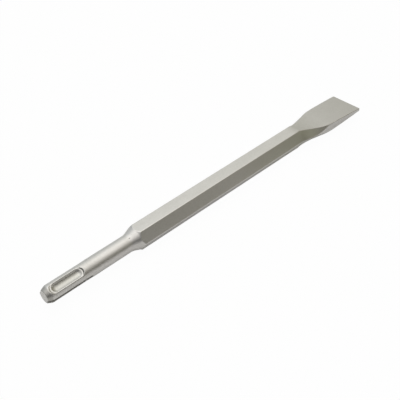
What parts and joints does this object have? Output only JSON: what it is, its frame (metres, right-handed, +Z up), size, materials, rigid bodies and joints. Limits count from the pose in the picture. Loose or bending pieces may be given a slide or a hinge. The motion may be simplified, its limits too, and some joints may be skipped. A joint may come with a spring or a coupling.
{
  "type": "flat chisel for a rotary hammer",
  "caption": "Flat chisel: grooved round shank, turned neck, hexagonal body and a forged wedge blade, wider than the bar, for breaking masonry.",
  "frame": {"origin": "on the surface that the chisel lies on, under the middle of its bounding box", "axes": "+X along the chisel from the shank's end to the cutting edge, +Z up out of the hexagon's upper flat, +Y across the blade"},
  "size_m": [0.25, 0.0224, 0.0135],
  "materials": {
    "blasted_steel": "bead-blasted tool steel: satin, warm light grey, with a fine even grain"
  },
  "bodies": {
    "root": {"flat_chisel": "blasted_steel"}
  },
  "joints": []
}
